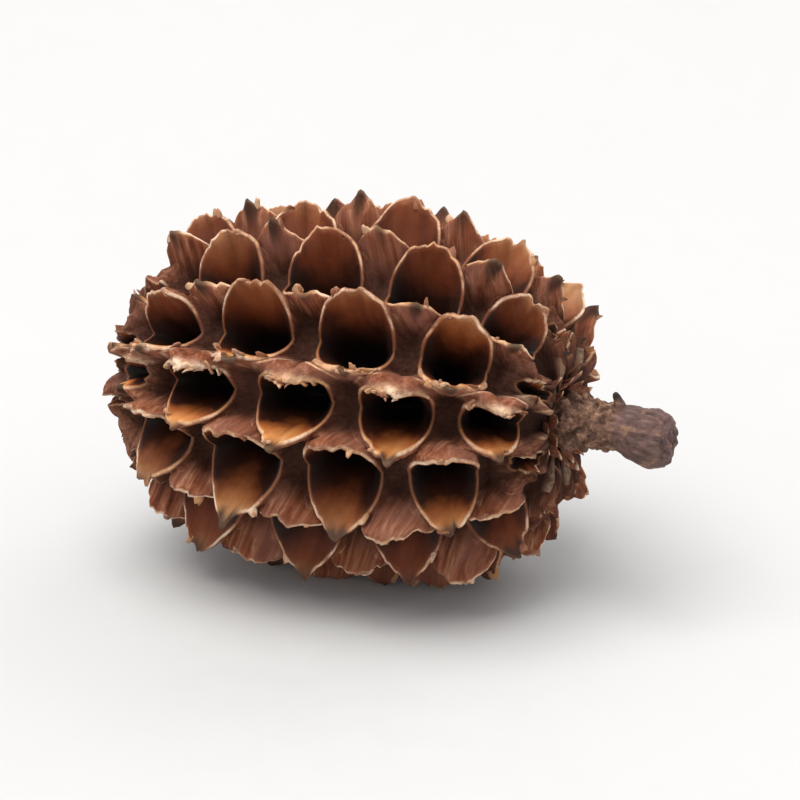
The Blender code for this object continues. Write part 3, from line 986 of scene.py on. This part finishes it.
class Graph:
    """Shorthand for the nodes of one material. Scales of noise are per metre, and bumps are in metres."""

    def __init__(self, name):
        self.material = bpy.data.materials.new(name)
        self.material.use_nodes = True
        self.tree = self.material.node_tree
        self.shader = self.tree.nodes["Principled BSDF"]

    def node(self, kind, **settings):
        made = self.tree.nodes.new(kind)
        for name, value in settings.items():
            setattr(made, name, value)
        return made

    def feed(self, socket, value):
        if isinstance(value, bpy.types.NodeSocket):
            self.tree.links.new(value, socket)
        else:
            socket.default_value = value

    def mark(self, name):
        made = self.node("ShaderNodeAttribute", attribute_type="GEOMETRY", attribute_name=name)
        return made.outputs["Fac"]

    def place(self):
        return self.node("ShaderNodeTexCoord").outputs["Object"]

    def math(self, operation, a, b=0.0, clamp=False):
        made = self.node("ShaderNodeMath", operation=operation, use_clamp=clamp)
        self.feed(made.inputs[0], a)
        self.feed(made.inputs[1], b)
        return made.outputs[0]

    def range(self, value, low, high, to_low=0.0, to_high=1.0):
        made = self.node("ShaderNodeMapRange", interpolation_type="SMOOTHSTEP")
        for socket, given in zip(made.inputs, (value, low, high, to_low, to_high)):
            self.feed(socket, given)
        return made.outputs[0]

    def noise(self, vector, scale, detail=4.0, roughness=0.55, distortion=0.0):
        made = self.node("ShaderNodeTexNoise")
        self.feed(made.inputs["Vector"], vector)
        made.inputs["Scale"].default_value = scale
        made.inputs["Detail"].default_value = detail
        made.inputs["Roughness"].default_value = roughness
        made.inputs["Distortion"].default_value = distortion
        return made.outputs["Fac"]

    def ramp(self, value, stops):
        """Colours along a value, from rows of (place on the ramp, colour on a screen)."""
        made = self.node("ShaderNodeValToRGB")
        self.feed(made.inputs[0], value)
        elements = made.color_ramp.elements
        while len(elements) < len(stops):
            elements.new(1.0)
        for element, (position, colour) in zip(elements, stops):
            element.position = position
            element.color = srgb(*colour)
        return made.outputs["Color"]

    def blend(self, share, a, b, kind="MIX"):
        made = self.node("ShaderNodeMix", data_type="RGBA", blend_type=kind)
        self.feed(made.inputs[0], share)
        self.feed(made.inputs[6], a)
        self.feed(made.inputs[7], b)
        return made.outputs[2]

    def grain_place(self, centre, squeeze):
        """Places whose pattern is drawn out the way that the lips stand, away from the cone's axis."""
        moved = self.node("ShaderNodeVectorMath", operation="SUBTRACT")
        self.feed(moved.inputs[0], self.place())
        moved.inputs[1].default_value = centre
        split = self.node("ShaderNodeSeparateXYZ")
        self.feed(split.inputs[0], moved.outputs[0])
        x, y, z = split.outputs
        squares = self.math("ADD", self.math("MULTIPLY", y, y), self.math("MULTIPLY", z, z))
        reach = self.math("SQRT", squares)
        around = self.math("DIVIDE", 0.01, reach)
        drawn = self.math("MULTIPLY", reach, squeeze)
        joined = self.node("ShaderNodeCombineXYZ")
        self.feed(joined.inputs[0], self.math("ADD", x, drawn))
        self.feed(joined.inputs[1], self.math("MULTIPLY", y, around))
        self.feed(joined.inputs[2], self.math("MULTIPLY", z, around))
        return joined.outputs[0]

    def bump(self, height, strength, distance, under=None):
        made = self.node("ShaderNodeBump")
        made.inputs["Strength"].default_value = strength
        made.inputs["Distance"].default_value = distance
        self.feed(made.inputs["Height"], height)
        if under is not None:
            self.feed(made.inputs["Normal"], under)
        return made.outputs["Normal"]

    def finish(self, colour, roughness, normal):
        self.feed(self.shader.inputs["Base Color"], colour)
        self.feed(self.shader.inputs["Roughness"], roughness)
        self.feed(self.shader.inputs["Normal"], normal)
        return self.material


def lip_material():
    """Satin red-brown inside the lips, matt fibrous grey-brown outside, and pale torn rims, with painted
    shade down in the pockets and low between the lips, and painted light on the golden lips and along the
    crest.
    """
    g = Graph("dry_cone_lips")
    place = g.place()
    grain = g.grain_place(BARREL_PLACE * MM, 0.12)
    fibres = g.noise(grain, 2600, 5, 0.6)
    broad_fibres = g.noise(grain, 900, 4, 0.6, 0.3)
    blotches = g.noise(place, 260, 4, 0.6)
    specks = g.noise(place, 2400, 3, 0.6)
    # Painted shade: the inside darkens with the depth mark, down into the pockets.
    depth = g.math("ADD", g.mark("depth"), g.range(blotches, 0.3, 0.7, -0.08, 0.08))

    # Painted light: the golden ramp stands for lips lit from above, over their own golden tone.
    golden = g.range(g.mark("gold"), 0.25, 0.85)
    inside = g.blend(golden, g.ramp(depth, INSIDE_PLAIN_PAINTED_SHADE), g.ramp(depth, INSIDE_GOLD_PAINTED_LIGHT_AND_SHADE))
    inside = g.blend(g.range(broad_fibres, 0.35, 0.72, 0.0, 0.4), inside, srgb(96, 54, 40), "MULTIPLY")

    outside = g.ramp(fibres, OUTSIDE)
    outside = g.blend(g.range(blotches, 0.42, 0.68, 0.0, 0.65), outside, srgb(146, 100, 86))
    outside = g.blend(g.range(g.noise(place, 420, 3), 0.5, 0.72, 0.0, 0.6), outside, srgb(116, 60, 37))
    # Painted shade: the outside darkens low down, near the barrel's skin between the lips.
    rise = g.math("ADD", g.mark("rise"), g.range(blotches, 0.3, 0.7, -0.1, 0.1))
    outside = g.blend(g.range(rise, 0.2, 0.72, 0.9, 0.0), outside, srgb(44, 20, 11))

    body = g.blend(g.mark("inside"), outside, inside)
    # Dark tips of the lips; near the floor they are broadened as painted shade.
    body = g.blend(g.range(g.mark("tip"), 0.2, 0.8, 0.0, 0.9), body, srgb(54, 33, 22))
    rim = g.blend(g.range(blotches, 0.35, 0.65), srgb(248, 218, 190), srgb(222, 172, 128))
    rim_wear = g.range(g.noise(place, 900, 5, 0.7), 0.36, 0.6, 0.15, 1.0)
    rim_wear = g.math("MULTIPLY", rim_wear, g.range(g.mark("tip"), 0.1, 0.55, 1.0, 0.08))
    # The pale rim colour is worn rims, and along the crest also painted highlight.
    rim_share = g.math("MULTIPLY", g.range(g.mark("edge"), 0.25, 0.85), rim_wear)
    colour = g.blend(rim_share, body, rim)

    matt = g.blend(g.mark("inside"), (0.86, 0.86, 0.86, 1), (0.54, 0.54, 0.54, 1))
    roughness = g.math("ADD", matt, g.range(specks, 0.3, 0.7, -0.06, 0.1))
    roughness = g.math("ADD", roughness, g.math("MULTIPLY", rim_share, 0.25), clamp=True)

    outside_relief = g.math("MULTIPLY", g.math("SUBTRACT", 1.0, g.mark("inside")), fibres)
    normal = g.bump(outside_relief, 0.9, 0.00028)
    normal = g.bump(broad_fibres, 0.35, 0.00022, normal)
    normal = g.bump(specks, 0.3, 0.00006, normal)
    g.shader.inputs["Specular IOR Level"].default_value = 0.3
    return g.finish(colour, roughness, normal)


def stalk_material():
    """Dry purplish grey-brown bark, tan where it is rubbed, with painted shade in its hollows, most of all
    between the stubs of its neck.
    """
    g = Graph("dry_stalk_bark")
    place = g.place()
    drawn = g.node("ShaderNodeMapping")
    g.feed(drawn.inputs["Vector"], place)
    drawn.inputs["Scale"].default_value = (0.25, 1.0, 1.0)
    fibres = g.noise(drawn.outputs[0], 2600, 5, 0.6)
    blotches = g.noise(place, 620, 4, 0.6)
    specks = g.noise(place, 3400, 3, 0.65)
    bark = g.ramp(fibres, BARK)
    bark = g.blend(g.range(blotches, 0.45, 0.6, 0.0, 0.55), bark, srgb(112, 82, 80))
    bark = g.blend(g.range(g.noise(place, 900, 3), 0.56, 0.7, 0.0, 0.75), bark, srgb(158, 118, 88))
    neck = g.ramp(g.noise(place, 1900, 4, 0.7), NECK)
    colour = g.blend(g.mark("neck"), bark, neck)
    colour = g.blend(g.mark("twig"), colour, srgb(38, 25, 21))
    # Painted shade: the bark is darkened in its hollows, where the stubs of the neck crowd together.
    hollows = g.node("ShaderNodeNewGeometry").outputs["Pointiness"]
    colour = g.blend(g.range(hollows, 0.42, 0.5, 0.7, 0.0), colour, srgb(32, 20, 15))
    normal = g.bump(fibres, 0.8, 0.0002)
    normal = g.bump(specks, 0.5, 0.00009, normal)
    roughness = g.range(specks, 0.3, 0.7, 0.72, 0.92)
    return g.finish(colour, roughness, normal)


def floor_material():
    g = Graph("pale_floor")
    colour = g.blend(g.noise(g.place(), 30, 2), (0.62, 0.62, 0.62, 1), (0.64, 0.64, 0.64, 1))
    roughness = g.range(g.noise(g.place(), 400, 3), 0.3, 0.7, 0.55, 0.65)
    return g.finish(colour, roughness, g.bump(g.noise(g.place(), 3000, 2), 0.02, 0.0001))


def add_floor():
    bm = bmesh.new()
    bmesh.ops.create_grid(bm, x_segments=1, y_segments=1, size=FLOOR_HALF_SIDE)
    floor = mesh_object("floor", bm)
    floor.data.materials.append(floor_material())


def add_light(name, place, size, power, colour):
    light = bpy.data.lights.new(name, "AREA")
    light.shape = "SQUARE"
    light.size = size
    light.energy = power
    light.color = colour
    lamp = bpy.data.objects.new(name, light)
    lamp.location = place
    lamp.rotation_euler = (LIGHTS_AIM - lamp.location).to_track_quat("-Z", "Y").to_euler()
    bpy.context.scene.collection.objects.link(lamp)


def add_studio():
    """An even white world, and two large soft lights."""
    world = bpy.data.worlds.new("studio")
    world.use_nodes = True
    back = world.node_tree.nodes["Background"]
    back.inputs["Color"].default_value = (1.0, 1.0, 1.0, 1.0)
    back.inputs["Strength"].default_value = WORLD_LIGHT
    bpy.context.scene.world = world
    for light in LIGHTS:
        add_light(*light)
    bpy.context.scene.view_settings.view_transform = "Standard"


def add_camera():
    """The camera at the photograph's angle: on the side of -y, and a little round to the stalk's end."""
    camera = bpy.data.objects.new("camera", bpy.data.cameras.new("camera"))
    camera.data.lens = CAMERA_LENS
    camera.data.clip_start = 0.01
    azimuth, elevation = math.radians(CAMERA_AZIMUTH), math.radians(CAMERA_ELEVATION)
    flat = math.cos(elevation)
    back = Vector((math.sin(azimuth) * flat, -math.cos(azimuth) * flat, math.sin(elevation)))
    camera.location = CAMERA_TARGET + back * CAMERA_DISTANCE
    camera.rotation_euler = (-back).to_track_quat("-Z", "Y").to_euler()
    bpy.context.scene.collection.objects.link(camera)
    bpy.context.scene.camera = camera


def dress(part, look, node=None):
    """Gives a piece its material and what it rides on, and hides the CAD node that it stands for."""
    part.data.materials.append(look)
    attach(part, "root")
    if node:
        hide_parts(node)


def main():
    fruits = grown_fruits()
    lip_look = lip_material()
    dress(cone_lips(fruits), lip_look, "cone_head")
    dress(rim_shreds(fruits), lip_look)
    dress(end_scales(), lip_look)
    dress(stalk_wood(), stalk_material(), "stalk")
    add_floor()
    add_studio()
    add_camera()


main()
